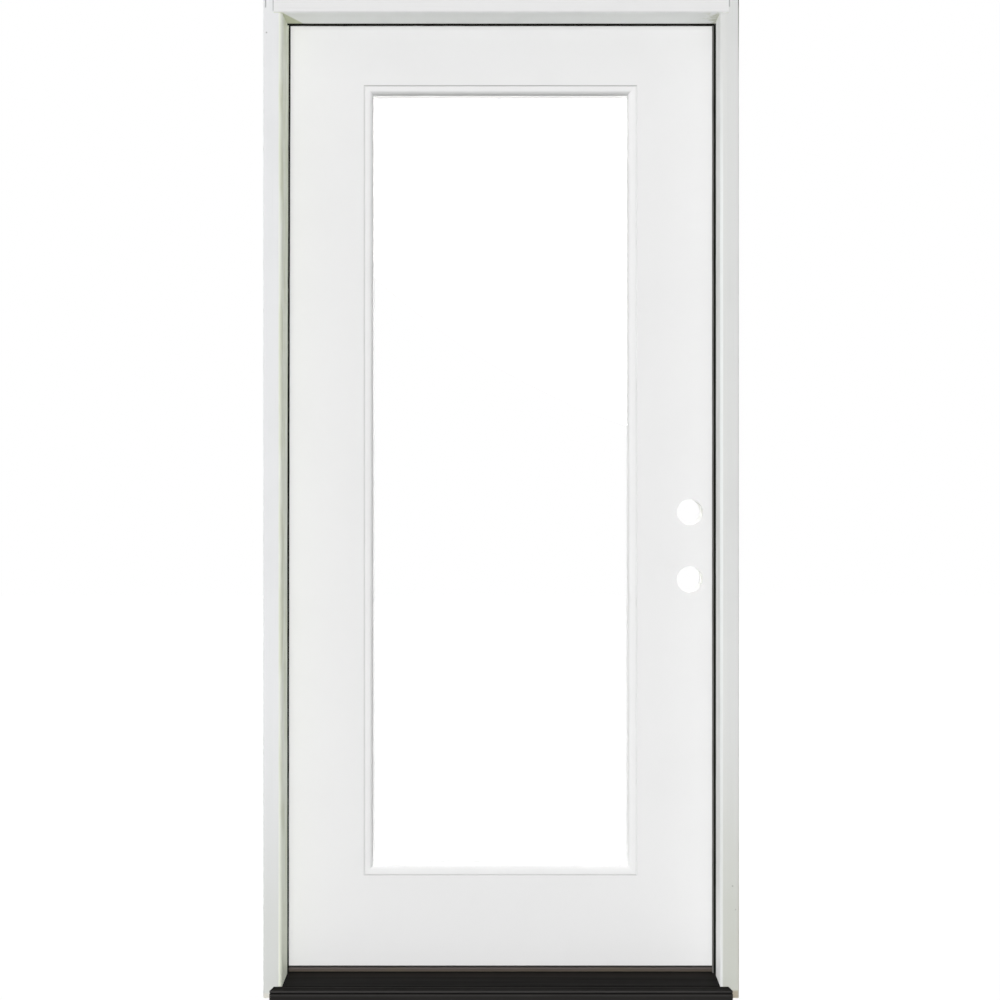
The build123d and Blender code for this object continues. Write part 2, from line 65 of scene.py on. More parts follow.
seal_low, seal_high = corners("latch_side_weatherstrip")
SEAL_OUTER = seal_high.x
SEAL_BACK = seal_high.y
SEAL_FOOT = seal_low.z
KERF_TIP = seal_low.y
LATCH_PROUD = STOP_HALF - seal_low.x

skin_low = corners("exterior_skin")[0]
SLAB_HALF = -skin_low.x
SLAB_BOTTOM = skin_low.z
SLAB_MIDDLE = (skin_low.y + corners("interior_skin")[1].y) / 2

trim_low, trim_high = corners("exterior_lite_trim")
LITE_MIDDLE = (trim_low + trim_high) / 2
LITE_HALF = (trim_high - trim_low) / 2

cap_low, cap_high = corners("sill_cap")
CAP_FRONT = cap_low.y
CAP_TOP = cap_high.z

HINGES = {}
for level in ("lower", "middle", "upper"):
    pin_low, pin_high = corners(f"{level}_hinge_pin")
    HINGES[level] = (pin_low.z + pin_high.z) / 2
PIN_Y = (pin_low.y + pin_high.y) / 2

# Edges of the sill deck's ramp, lip and nose, in metres
RAMP_FOOT = -0.07935
RAMP_TOP = 0.025
LIP_FOOT = 0.019
NOSE_TOP = 0.017

# Weatherstrips as the scene has them, in metres. The hinge-side and head bulbs stand SIDE_PROUD out from
# their stops. Only the places of a section within a bulb's width waver and lean. Within GREY_WIDTH the
# latch-side strip is grey, painted light on its bulb; beyond it the strip is dark, and its fin, which ends
# at depth FIN_TIP, lies on the stop's edge as painted shade. A lean is how far a bulb moves inward at the
# sill, and how much more at the head.
SIDE_PROUD = 0.0036
SEAT_GAP = 0.00005
BULB_WIDTH = 0.0034
HEAD_BULB_WIDTH = 0.0030
GREY_WIDTH = 0.0033
FIN_TIP = -0.0072
HINGE_LEAN = (-0.0010, 0.0038)
LATCH_LEAN = (0.0, 0.0)
LEAN_POWER = 1.8


# Materials


def linear(red, green, blue):
    """A colour written as 0 to 255, as the shaders take it."""
    values = []
    for value in (red, green, blue):
        value /= 255
        values.append(value / 12.92 if value <= 0.04045 else ((value + 0.055) / 1.055) ** 2.4)
    return (*values, 1.0)


class Finish:
    """A Principled material with its texture nodes."""

    def __init__(self, name, colour, roughness, metallic=0.0, specular=0.3, **sockets):
        self.material = bpy.data.materials.new(name)
        self.material.use_nodes = True
        self.tree = self.material.node_tree
        self.shader = self.tree.nodes["Principled BSDF"]
        self.shader.inputs["Base Color"].default_value = linear(*colour)
        self.shader.inputs["Roughness"].default_value = roughness
        self.shader.inputs["Metallic"].default_value = metallic
        self.shader.inputs["Specular IOR Level"].default_value = specular
        for socket, value in sockets.items():
            self.shader.inputs[socket.replace("_", " ")].default_value = value
        self.colour = None
        self.height = None
        self.material.diffuse_color = linear(*colour)

    def node(self, kind, **settings):
        """New node with its settings."""
        made = self.tree.nodes.new(kind)
        for name, value in settings.items():
            setattr(made, name, value)
        return made

    def link(self, output, node, socket):
        """Joins an output to a node's socket."""
        self.tree.links.new(output, node.inputs[socket])

    def value(self, operation, first, second=None, third=None):
        """Math node on sockets or numbers."""
        made = self.node("ShaderNodeMath", operation=operation)
        for index, item in enumerate((first, second, third)):
            if item is None:
                continue
            if isinstance(item, (int, float)):
                made.inputs[index].default_value = item
            else:
                self.link(item, made, index)
        return made.outputs[0]

    def parts(self, kind, output):
        """X, Y and Z of a vector that a new node puts out."""
        split = self.node("ShaderNodeSeparateXYZ")
        self.link(self.node(kind).outputs[output], split, 0)
        return split.outputs

    def place(self):
        """Object coordinates, split into X, Y and Z."""
        return self.parts("ShaderNodeTexCoord", "Object")

    def facing(self):
        """Surface normal, split into X, Y and Z."""
        return self.parts("ShaderNodeNewGeometry", "Normal")

    def ramp(self, socket, low, high, start=0.0, end=1.0):
        """Maps low to high smoothly onto start to end, clamped."""
        made = self.node("ShaderNodeMapRange", interpolation_type="SMOOTHSTEP", clamp=True)
        self.link(socket, made, "Value")
        made.inputs["From Min"].default_value = low
        made.inputs["From Max"].default_value = high
        made.inputs["To Min"].default_value = start
        made.inputs["To Max"].default_value = end
        return made.outputs["Result"]

    def band(self, socket, low, high, soft):
        """1 where the socket lies between low and high, fading to 0 over soft outside."""
        rise = self.ramp(socket, low - soft, low)
        fall = self.ramp(socket, high, high + soft, 1.0, 0.0)
        return self.value("MULTIPLY", rise, fall)

    def stripe(self, socket, middle, half, soft):
        """Band of a half width on either side of its middle."""
        return self.band(socket, middle - half, middle + half, soft)

    def every(self, *masks):
        """All masks multiplied together."""
        product = masks[0]
        for mask in masks[1:]:
            product = self.value("MULTIPLY", product, mask)
        return product

    def noise(self, scale, stretch=(1, 1, 1), detail=4.0, roughness=0.55, shift=0.0):
        """Noise on object coordinates, stretched and shifted."""
        coords = self.node("ShaderNodeTexCoord")
        mapping = self.node("ShaderNodeMapping")
        mapping.inputs["Scale"].default_value = stretch
        mapping.inputs["Location"].default_value = (shift, shift, shift)
        self.link(coords.outputs["Object"], mapping, "Vector")
        made = self.node("ShaderNodeTexNoise")
        made.inputs["Scale"].default_value = scale
        made.inputs["Detail"].default_value = detail
        made.inputs["Roughness"].default_value = roughness
        self.link(mapping.outputs["Vector"], made, "Vector")
        return made.outputs["Fac"]

    def paint(self, colour, mask, strength=1.0):
        """Lays a colour over what is there, where the mask is 1."""
        mix = self.node("ShaderNodeMix", data_type="RGBA", blend_type="MIX")
        if self.colour is None:
            mix.inputs["A"].default_value = self.shader.inputs["Base Color"].default_value
        else:
            self.link(self.colour, mix, "A")
        mix.inputs["B"].default_value = linear(*colour)
        if strength != 1.0:
            mask = self.value("MULTIPLY", mask, strength)
        self.link(mask, mix, "Factor")
        self.colour = mix.outputs["Result"]
        self.link(self.colour, self.shader, "Base Color")

    def relief(self, height, strength, distance):
        """Adds a bump on top of any there is."""
        bump = self.node("ShaderNodeBump")
        bump.inputs["Strength"].default_value = strength
        bump.inputs["Distance"].default_value = distance
        self.link(height, bump, "Height")
        if self.height is not None:
            self.link(self.height, bump, "Normal")
        self.height = bump.outputs["Normal"]
        self.link(self.height, self.shader, "Normal")

    def gloss(self, mask, low, high):
        """Roughness from low to high along a mask of 0.3 to 0.7."""
        self.link(self.ramp(mask, 0.3, 0.7, low, high), self.shader, "Roughness")


def plain(name, colour, shade, roughness, scale, stretch=(1, 1, 1), relief=0.2, depth=0.0002, **sockets):
    """A single-coloured surface with mottling, fine relief and uneven gloss."""
    made = Finish(name, colour, roughness, **sockets)
    mottle = made.noise(scale, stretch)
    made.paint(shade, made.ramp(mottle, 0.4, 0.7))
    made.relief(made.noise(scale * 12, stretch, detail=3.0, shift=3.0), relief, depth)
    made.gloss(mottle, roughness * 0.9, min(1.0, roughness * 1.12))
    return made


# Primer on the wood frame

ALONG_Z = (260, 260, 4)
ALONG_X = (4, 260, 260)
GRAIN_CONTRAST = 5
HINGE_WHITE = (235, 236, 237)
HINGE_FOOT_TONE = (216, 218, 215)
# The latch side's primer is darker than the hinge side's: painted shade, as the light falls from the left.
LATCH_WHITE = (222, 223, 222)
LATCH_FOOT_TONE = (202, 204, 196)
HEAD_WHITE = (235, 235, 235)
RAW_WOOD = (176, 168, 152)

# The darker paint towards an upright's foot begins at the first of these heights, less the blotches' share,
# and is full at the second
FOOT_TONE_TOP = 0.75
FOOT_TONE_FULL = 0.12
FOOT_TONE_BREAKUP = 0.25

# How deep behind the frame's front its outdoor face ends, and how deep it is still full
FACE_EDGE = 0.002
FACE_FULL = 0.0005

# Each seam has its X and its lowest Z
SEAM_COLOUR = (176, 178, 178)
SEAM_HALF = 0.0006
SEAM_FADE = 0.0012
SEAM_START = 0.004
HINGE_SEAMS = ((-HEAD_HALF - 0.0004, 1.9935), (-0.4762, 2.0005))
LATCH_SEAM = (HEAD_HALF + 0.0014, 2.002)

# Each nail hole has its X, Z, radius and colour
HINGE_NAIL = (-0.4743, 1.9519, 0.0022, (186, 187, 185))
LATCH_NAILS = (
    (0.4679, 0.2263, 0.0022, (176, 178, 172)),
    (0.4739, 0.1788, 0.0020, (184, 186, 180)),
)

# Painted shade along the latch jamb's outer edge: each colour with the heights where it starts and where it
# is full
LATCH_EDGE = (JAMB_OUTER - 0.0024, JAMB_OUTER - 0.0014)
LATCH_EDGE_PAINTED_SHADE = (
    ((196, 194, 184), 0.35, 0.1),
    ((138, 140, 134), 1.84, 1.99),
    ((76, 78, 72), 1.99, 2.015),
)

# Bare feet: heights where the paint ends and where the bare foot is full
HINGE_BARE = (0.012, 0.007)
LATCH_BARE = (0.018, 0.012)
LATCH_BARE_SIDE = (0.4625, 0.4665)
BARE_PRIMER = (222, 220, 212)

# Underside of the head stop: the slanted edge of the painted olive shadow in its left corner, and where its
# right end begins
CORNER_SHADOW_SLANT = -0.508
CORNER_SHADOW_EDGE = (-0.409, -0.416)
HEAD_RIGHT = (0.40, 0.443)


def primer(name, face, grain):
    """Factory white primer on wood. grain stretches its brush marks along the board."""
    made = Finish(name, face, 0.6, specular=0.25)
    streaks = made.noise(1.0, grain, detail=6.0, roughness=0.6)
    made.blotches = made.noise(7.0, detail=3.0)
    darker = tuple(value - GRAIN_CONTRAST for value in face)
    lighter = tuple(value + GRAIN_CONTRAST for value in face)
    made.paint(darker, made.ramp(made.blotches, 0.45, 0.75), 0.6)
    made.paint(lighter, made.ramp(streaks, 0.55, 0.75), 0.6)
    made.paint(darker, made.ramp(streaks, 0.45, 0.3), 0.7)
    made.relief(streaks, 0.35, 0.0004)
    made.relief(made.noise(900.0, detail=2.0), 0.15, 0.0002)
    made.gloss(made.blotches, 0.55, 0.68)
    return made


def foot_tone(made, colour):
    """Darker paint that fades in towards the foot of an upright, broken up by blotches."""
    height = made.value("MULTIPLY_ADD", made.blotches, FOOT_TONE_BREAKUP, made.place()[2])
    made.paint(colour, made.ramp(height, FOOT_TONE_TOP, FOOT_TONE_FULL))


def outdoor_face(made):
    """1 on the frame's outdoor face."""
    return made.ramp(made.place()[1], FRAME_FRONT + FACE_EDGE, FRAME_FRONT + FACE_FULL)


def seam(made, x, low):
    """Thin dark line in the paint where the head jamb ends in the side jamb."""
    place = made.place()
    line = made.stripe(place[0], x, SEAM_HALF, SEAM_FADE)
    made.paint(SEAM_COLOUR, made.every(line, outdoor_face(made), made.ramp(place[2], low, low + SEAM_START)))


def nail_hole(made, x, z, radius, colour):
    """Filled nail hole on the outdoor face."""
    place = made.place()
    across = made.value("SUBTRACT", place[0], x)
    up = made.value("SUBTRACT", place[2], z)
    squares = made.value("ADD", made.value("POWER", across, 2.0), made.value("POWER", up, 2.0))
    dot = made.ramp(made.value("SQRT", squares), radius, radius * 0.5)
    made.paint(colour, made.every(dot, outdoor_face(made)))


def hinge_jamb_primer():
    """Hinge jamb: bare at its very foot, with the head's two joint lines and a nail hole."""
    made = primer("primer_hinge_jamb", HINGE_WHITE, ALONG_Z)
    foot_tone(made, HINGE_FOOT_TONE)
    made.paint(BARE_PRIMER, made.ramp(made.place()[2], *HINGE_BARE))
    for x, low in HINGE_SEAMS:
        seam(made, x, low)
    nail_hole(made, *HINGE_NAIL)
    return made


def latch_jamb_primer():
    """Latch jamb: raw wood at its foot, painted shade along its outer edge, darkest towards the top, and two
    nail holes.
    """
    # The latch side's darker primer: painted shade.
    made = primer("primer_latch_jamb", LATCH_WHITE, ALONG_Z)
    foot_tone(made, LATCH_FOOT_TONE)
    x, _, z = made.place()
    made.paint(RAW_WOOD, made.every(made.ramp(z, *LATCH_BARE), made.ramp(x, *LATCH_BARE_SIDE)))
    edge = made.ramp(x, *LATCH_EDGE)
    # Painted shade along the outer edge, darkest near the top.
    for colour, start, full in LATCH_EDGE_PAINTED_SHADE:
        made.paint(colour, made.every(edge, made.ramp(z, start, full)))
    seam(made, *LATCH_SEAM)
    for nail in LATCH_NAILS:
        nail_hole(made, *nail)
    return made


def stop_primer(name, face, foot_tone_colour, side, turn, tints):
    """Primer of a side stop, whose inner side, from where its round turns in, takes painted light: another
    tint than its face.

    tints: the inner side's painted light, its darker patches, its paler patches and its foot. turn: how far
    the surface faces inward there.
    """
    tint, dark_patch, pale_patch, foot = tints
    made = primer(name, face, ALONG_Z)
    foot_tone(made, foot_tone_colour)
    reveal = made.ramp(made.value("MULTIPLY", made.facing()[0], side), *turn)
    # Painted light on the inner side, with darker and paler patches in it and a paler foot.
    made.paint(tint, reveal)
    patches = made.noise(1.0, (9, 30, 5), detail=2.0, shift=7.0)
    made.paint(dark_patch, made.every(reveal, made.ramp(patches, 0.45, 0.62)))
    made.paint(pale_patch, made.every(reveal, made.ramp(patches, 0.42, 0.3)))
    made.paint(foot, made.every(reveal, made.ramp(made.place()[2], 0.32, 0.03)))
    return made


def hinge_stop_finish():
    """Hinge stop: painted olive reflected light on the side that looks at the opening."""
    tints = ((248, 252, 239), (236, 240, 221), (253, 254, 249), (247, 251, 234))
    return stop_primer("primer_hinge_stop", HINGE_WHITE, HINGE_FOOT_TONE, 1.0, (0.02, 0.3), tints)


def latch_stop_finish():
    """Latch stop: nearly neutral painted light on its inner side, and a painted highlight along its round
    that fades out near both ends.
    """
    tints = ((228, 229, 228), (222, 223, 221), (233, 234, 232), (251, 251, 250))
    # Its face takes the latch side's darker primer: painted shade.
    made = stop_primer("primer_latch_stop", (223, 224, 222), LATCH_FOOT_TONE, -1.0, (0.35, 0.97), tints)
    z = made.place()[2]
    # Painted highlight along the round, fading out near both ends.
    turned = made.band(made.facing()[0], -0.9, -0.35, 0.12)
    made.paint((240, 243, 242), made.every(turned, made.ramp(z, 1.95, 1.6), made.ramp(z, 0.1, 1.1, 0.5)))
    return made


def head_stop_finish():
    """Head stop: painted light underneath, a painted olive shadow in a triangle at its left end, and a
    mottled right end.
    """
    made = primer("primer_head_stop", HEAD_WHITE, ALONG_X)
    under = made.ramp(made.facing()[2], -0.45, -0.97)
    # Painted light on the underside.
    made.paint((252, 254, 252), under)
    x, y, _ = made.place()
    # Painted olive shadow in a triangle at the left end of the underside.
    slant = made.value("MULTIPLY_ADD", y, CORNER_SHADOW_SLANT, x)
    made.paint((208, 212, 188), made.every(under, made.ramp(slant, *CORNER_SHADOW_EDGE)))
    patches = made.noise(1.0, (60, 60, 60), detail=3.0)
    right_end = made.ramp(x, *HEAD_RIGHT)
    made.paint((208, 210, 195), made.every(under, right_end, made.ramp(patches, 0.4, 0.6)))
    return made


# Slab, lite and its groove

GROOVE_HALF = 0.0014
GROOVE_FADE = 0.0004


def lite_groove_shade(made):
    """Painted shade in the groove round the lite, heavier at the top and left."""
    x, _, z = made.place()
    across = made.value("SUBTRACT", x, LITE_MIDDLE.x)
    up = made.value("SUBTRACT", z, LITE_MIDDLE.z)
    beside = made.value("SUBTRACT", made.value("ABSOLUTE", across), LITE_HALF.x)
    above = made.value("SUBTRACT", made.value("ABSOLUTE", up), LITE_HALF.z)
    groove = made.stripe(made.value("MAXIMUM", beside, above), 0.0, GROOVE_HALF, GROOVE_FADE)
    upright = made.ramp(made.value("SUBTRACT", above, beside), 0.001, -0.001)
    level = made.ramp(upright, 0.0, 1.0, 1.0, 0.0)
    sides = made.value("MULTIPLY", upright, made.ramp(across, -0.1, 0.1, 0.36, 0.12))
    ends = made.value("MULTIPLY", level, made.ramp(up, -0.4, 0.4, 0.36, 0.66))
    # Painted shade in the groove.
    made.paint((184, 184, 184), made.value("MULTIPLY", groove, made.value("ADD", sides, ends)))


def skin_finish():
    """Painted fibreglass of the slab's two faces, with painted shade in the groove round the lite."""
    made = plain("fibreglass_skin", (236, 236, 236), (235, 235, 235), 0.45, 6.0, relief=0.08, depth=0.0001)
    lite_groove_shade(made)
    return made


def trim_finish():
    """Painted lite trim: painted light on its cove where it faces up, painted shade where it faces down, and
    painted shade in its groove.
    """
    made = plain("lite_trim", (240, 240, 240), (238, 238, 238), 0.42, 9.0, relief=0.06, depth=0.0001)
    upward = made.facing()[2]
    # Painted light on the cove where it faces up, painted shade where it faces down.
    made.paint((253, 253, 253), made.ramp(upward, 0.2, 0.8))
    made.paint((224, 224, 224), made.ramp(upward, -0.05, -0.5))
    lite_groove_shade(made)
    return made


def glass_finish():
    """Clear glass that lets the lamps' light through."""
    made = Finish("clear_glass", (255, 255, 255), 0.0, Transmission_Weight=1.0, IOR=1.45)
    path = made.node("ShaderNodeLightPath")
    through = made.node("ShaderNodeBsdfTransparent")
    mix = made.node("ShaderNodeMixShader")
    lamplight = made.value("MAXIMUM", path.outputs["Is Shadow Ray"], path.outputs["Is Diffuse Ray"])
    made.link(lamplight, mix, 0)
    made.link(made.shader.outputs[0], mix, 1)
    made.link(through.outputs[0], mix, 2)
    made.link(mix.outputs[0], made.tree.nodes["Material Output"], "Surface")
    return made


# Sill: places along its depth and height, bands with their fade last

DARK_GROOVES = (-0.0588, -0.0688, -0.0776)
PALE_RIDGES = (-0.0640, -0.0735)
RIDGE_HALF = 0.0018
RIDGE_FADE = 0.0006
RAMP_CREST = (-0.013, 0.004, 0.003)
RAMP_EDGE = (RAMP_FOOT + 0.0012, RAMP_FOOT + 0.0006)
LIP_FACE = (LIP_FOOT, LIP_FOOT + 0.0005)
STEP_DEPTH = (-0.070, -0.075)
STEP_HEIGHT = (NOSE_TOP + 0.0002, LIP_FOOT - 0.0002, 0.0004)
NOSE_FACE = (NOSE_TOP + 0.0005, NOSE_TOP)
NOSE_STRIPE = (NOSE_TOP - 0.0042, NOSE_TOP - 0.0024, 0.0008)
CAP_EDGE = (CAP_TOP - 0.004, CAP_TOP - 0.001)
CAP_FOOT = (RAMP_TOP + 0.003, RAMP_TOP)


def cap_finish():
    """Vinyl cap: paler along its upper front edge, dusty in patches, with painted shade at its foot."""
    made = plain(
        "cap_vinyl", (88, 80, 75), (80, 72, 67), 0.6, 30.0, (0.15, 1, 1), relief=0.25, specular=0.15
    )
    z = made.place()[2]
    made.paint((96, 90, 88), made.ramp(z, *CAP_EDGE))
    dust = made.noise(1.0, (6, 1, 1), detail=2.0, shift=2.0)
    made.paint((98, 90, 70), made.ramp(dust, 0.5, 0.7), 0.35)
    # Painted shade at the cap's foot, above the deck.
    made.paint((80, 74, 64), made.ramp(z, *CAP_FOOT))
    return made


def deck_finish():
    """Dark anodising: painted shade in the ramp's grooves, a painted highlight along the lip, paler on the
    nose, and painted shadow in the step between.
    """
    made = plain(
        "bronze_anodised",
        (28, 27, 26),
        (25, 24, 23),
        0.6,
        90.0,
        (0.02, 1, 1),
        relief=0.3,
        depth=0.0001,
        specular=0.03,
    )
    _, y, z = made.place()
    # Painted shade in the ramp's grooves.
    for middle in DARK_GROOVES:
        made.paint((14, 13, 13), made.stripe(y, middle, RIDGE_HALF, RIDGE_FADE))
    for middle in PALE_RIDGES:
        made.paint((37, 36, 34), made.stripe(y, middle, RIDGE_HALF, RIDGE_FADE))
    made.paint((38, 36, 34), made.band(y, *RAMP_CREST))
    outer = made.ramp(y, *RAMP_EDGE)
    # Painted highlight along the lip.
    made.paint((61, 60, 59), made.every(outer, made.ramp(z, *LIP_FACE)))
    # Painted shadow in the step under the lip.
    made.paint((6, 6, 6), made.every(made.ramp(y, *STEP_DEPTH), made.band(z, *STEP_HEIGHT)))
    nose = made.every(outer, made.ramp(z, *NOSE_FACE))
    made.paint((43, 42, 41), nose)
    made.paint((58, 57, 56), made.every(nose, made.band(z, *NOSE_STRIPE)))
    scuffs = made.noise(1.0, (3, 90, 90), detail=3.0, shift=5.0)
    made.paint((34, 33, 32), made.ramp(scuffs, 0.5, 0.75), 0.6)
    return made


skin = skin_finish()
trim_paint = trim_finish()
stile_paint = plain("stile_edge", (226, 226, 222), (218, 218, 213), 0.5, 5.0, (60, 60, 2), relief=0.25)
rail_composite = plain("rail_composite", (196, 192, 186), (182, 178, 171), 0.7, 40.0, relief=0.4)
block_white = plain("block_composite", (252, 252, 250), (247, 247, 244), 0.6, 60.0, relief=0.3)
foam = plain("core_foam", (226, 214, 176), (214, 198, 152), 0.9, 300.0, relief=0.7, depth=0.0006)
rubber = plain("weatherstrip_skin", (33, 34, 30), (26, 26, 23), 0.8, 60.0, (1, 1, 0.2), specular=0.03)
# Grey rubber: painted light on the latch-side bulb.
grey_rubber = plain("weatherstrip_bulb", (116, 115, 112), (106, 105, 102), 0.6, 60.0, (1, 1, 0.2))
pale_rubber = plain("weatherstrip_web", (196, 198, 186), (190, 192, 180), 0.6, 60.0, (1, 1, 0.2))
pad_foam = plain("pad_foam", (58, 58, 58), (46, 46, 46), 0.95, 400.0, relief=0.8, depth=0.0004)
vinyl = plain("sweep_vinyl", (64, 62, 61), (54, 52, 51), 0.6, 50.0, (0.2, 1, 1), specular=0.2)
composite = plain("sill_composite", (168, 160, 146), (146, 138, 124), 0.8, 90.0, relief=0.6, depth=0.0004)
steel = plain("hinge_steel", (188, 186, 181), (172, 170, 165), 0.34, 500.0, (1, 1, 0.05), metallic=1.0)
screw_steel = plain("screw_steel", (176, 174, 168), (156, 154, 149), 0.3, 700.0, metallic=1.0)
spacer = plain("spacer_bar", (240, 241, 241), (232, 233, 233), 0.6, 200.0)
glass = glass_finish()

MATERIALS = {
    "hinge_jamb": hinge_jamb_primer(),
    "latch_jamb": latch_jamb_primer(),
    "hinge_stop": hinge_stop_finish(),
    "latch_stop": latch_stop_finish(),
    "head_jamb": primer("primer_head_jamb", HEAD_WHITE, ALONG_X),
    "head_stop": head_stop_finish(),
    "sill_deck": deck_finish(),
    "sill_base": composite,
    "sill_cap": cap_finish(),
    "exterior_skin": skin,
    "interior_skin": skin,
    "hinge_stile": stile_paint,
    "latch_stile": stile_paint,
    "top_rail": rail_composite,
    "bottom_rail": rail_composite,
    "lock_block": block_white,
    "foam_core_hinge_side": foam,
    "foam_core_latch_side": foam,
    "foam_core_bottom": foam,
    "foam_core_top": foam,
    "exterior_glass_pane": glass,
    "interior_glass_pane": glass,
    "glass_spacer": spacer,
    "exterior_lite_trim": trim_paint,
    "interior_lite_trim": trim_paint,
    "hinge_side_weatherstrip": rubber,
    "latch_side_weatherstrip": rubber,
    "head_weatherstrip": rubber,
    "hinge_side_corner_pad": pad_foam,
    "latch_side_corner_pad": pad_foam,
    "door_bottom_sweep": vinyl,
}
for level in HINGES:
    for hinge_part in ("hinge_frame_leaf", "hinge_door_leaf", "hinge_pin"):
        MATERIALS[f"{level}_{hinge_part}"] = steel

for name, node in nodes.items():
    node.data.materials.clear()
    node.data.materials.append(MATERIALS[name].material)


# Pieces

SHARP_ANGLE = math.radians(38)
SIDE_STATIONS = 64
HEAD_STATIONS = 48
SWEEP_STATIONS = 9
WAVES = ((0.00007, 23.0, 0.0), (0.00005, 61.0, 1.3))


def piece(name, verts, faces, finishes, slots=None):
    """Mesh object from points in metres. slots gives each face's material, where there are several."""
    mesh = bpy.data.meshes.new(name)
    mesh.from_pydata(verts, [], faces)
    for finish in finishes:
        mesh.materials.append(finish.material)
    shaped = bmesh.new()
    shaped.from_mesh(mesh)
    if slots is not None:
        for face, index in zip(shaped.faces, slots):
            face.material_index = index
    bmesh.ops.recalc_face_normals(shaped, faces=shaped.faces)
    for edge in shaped.edges:
        edge.smooth = edge.calc_face_angle(0.0) < SHARP_ANGLE
    for face in shaped.faces:
        face.smooth = True
    shaped.to_mesh(mesh)
    shaped.free()
    made = bpy.data.objects.new(name, mesh)
    scene.collection.objects.link(made)
    return made


def run(name, profile, stations, point, finishes, second_finish=()):
    """Closed profile carried along stations, with flat ends.

    point(station, place) puts a place of the profile in space. second_finish lists the stretches of the
    profile, each by its first place, that take the second material.
    """
    count = len(profile)
    verts = [point(station, place) for station in stations for place in profile]
    faces = []
    slots = []
    for step in range(len(stations) - 1):
        near = step * count
        far = near + count
        for index in range(count):
            following = (index + 1) % count
            faces.append((near + index, near + following, far + following, far + index))
            slots.append(1 if index in second_finish else 0)
    faces.append(tuple(range(count)))
    faces.append(tuple(range(len(verts) - 1, len(verts) - 1 - count, -1)))
    slots += [0, 0]
    return piece(name, verts, faces, finishes, slots)


def spread(low, high, count):
    """Evenly spaced numbers from low to high."""
    return [low + (high - low) * index / (count - 1) for index in range(count)]


# Weatherstrips


def waviness(station):
    """Slight unevenness of a strip along its length, in metres."""
    return sum(height * math.sin(station * pace + start) for height, pace, start in WAVES)


def grooved_nose(front):
    """Latch-side bulb: a grey front, painted light on the rubber, a groove, then a thin dark fin that lies
    on the stop's edge as painted shade.
    """
    return [
        (0.0, 0.0102),
        (0.0002, 0.0088),
        (0.0009, 0.0076),
        (0.0019, 0.0070),
        (0.0029, 0.0073),
        (0.0034, 0.0084),
        (0.0037, 0.0096),
        (0.0042, 0.0098),
        (0.0046, 0.0086),
        (0.0047, 0.0066),
        (0.0047, FIN_TIP + 0.0006),
        (0.0049, FIN_TIP + 0.0001),
        (0.0052, FIN_TIP),
        (0.0054, FIN_TIP + 0.0003),
        (LATCH_PROUD - SEAT_GAP, front),
        (0.0060, front),
    ]


def plain_nose(front):
    """Rounded bulb of the other strips, with a web from its edge to the stop."""
    return [
        (0.0, 0.0096),
        (0.0002, 0.0082),
        (0.0009, 0.0070),
        (0.0020, 0.0062),
        (BULB_WIDTH, 0.0057),
        (0.0046, front),
    ]


def barbed_leg(middle, front):
    """Leg in the stop's kerf: down one side past three barbs, and up the other."""
    half = 0.0006
    reach = 0.0012
    tip_half = 0.0003
    rise = 0.0009
    drop = 0.0005
    points = [(middle - half, front)]
    for height in (0.0030, 0.0000, -0.0030):
        points.append((middle - half, height))
        points.append((middle - reach, height + rise))
        points.append((middle - half, height - drop))
    points += [(middle - tip_half, KERF_TIP), (middle + tip_half, KERF_TIP)]
    for height in (-0.0030, 0.0000, 0.0030):
        points.append((middle + half, height - drop))
        points.append((middle + reach, height + rise))
        points.append((middle + half, height))
    points.append((middle + half, front))
    return points


def strip_profile(proud, nose):
    """Section of a foam-filled kerf strip: distance outward from its inner edge, and depth Y."""
    end = SEAL_OUTER - STOP_HALF + proud
    front = STOP_BACK + SEAT_GAP
    back = [
        (end, front + 0.0004),
        (end, SEAL_BACK - 0.0018),
        (end - 0.0007, SEAL_BACK - 0.0006),
        (end - 0.0020, SEAL_BACK),
        (end - 0.0070, SEAL_BACK - 0.00025),
        (0.0032, SEAL_BACK),
        (0.0016, SEAL_BACK - 0.0003),
        (0.0006, SEAL_BACK - 0.0011),
    ]
    return nose(front) + barbed_leg(end - 0.0015, front) + back


def lean(station, foot, rise):
    """How far a bulb sits inward of its upright place: foot at the sill, and rise more at the head."""
    share = min(1.0, max(0.0, (station - SEAL_FOOT) / (STOP_TOP - SEAL_FOOT)))
    return foot + rise * share**LEAN_POWER


def side_strip(name, side, proud, profile, leaning, finishes, second_finish):
    """Weatherstrip of a side jamb, its bulb uneven by a hair. leaning is foot and rise of its lean."""
    inner = STOP_HALF - proud

    def point(station, place):
        shift = waviness(station) - lean(station, *leaning) if place[0] <= BULB_WIDTH else 0.0
        return (side * (inner + place[0] + shift), place[1], station)

    stations = spread(SEAL_FOOT, STOP_TOP - SIDE_PROUD, SIDE_STATIONS)
    return run(name, profile, stations, point, finishes, second_finish)


plain_profile = strip_profile(SIDE_PROUD, plain_nose)
web = [index for index, place in enumerate(plain_profile) if place[0] == BULB_WIDTH]
hinge_strip = side_strip(
    "hinge_side_seal", -1, SIDE_PROUD, plain_profile, HINGE_LEAN, [rubber, pale_rubber], web
)
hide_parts("hinge_side_weatherstrip")

grooved_profile = strip_profile(LATCH_PROUD, grooved_nose)
# The latch-side strip's grey front is painted light; beyond it the strip is dark, and its fin on the stop's
# edge is painted shade.
beyond_grey = [index for index, place in enumerate(grooved_profile) if place[0] >= GREY_WIDTH]
latch_strip = side_strip(
    "latch_side_seal", 1, LATCH_PROUD, grooved_profile, LATCH_LEAN, [grey_rubber, rubber], beyond_grey
)
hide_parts("latch_side_weatherstrip")


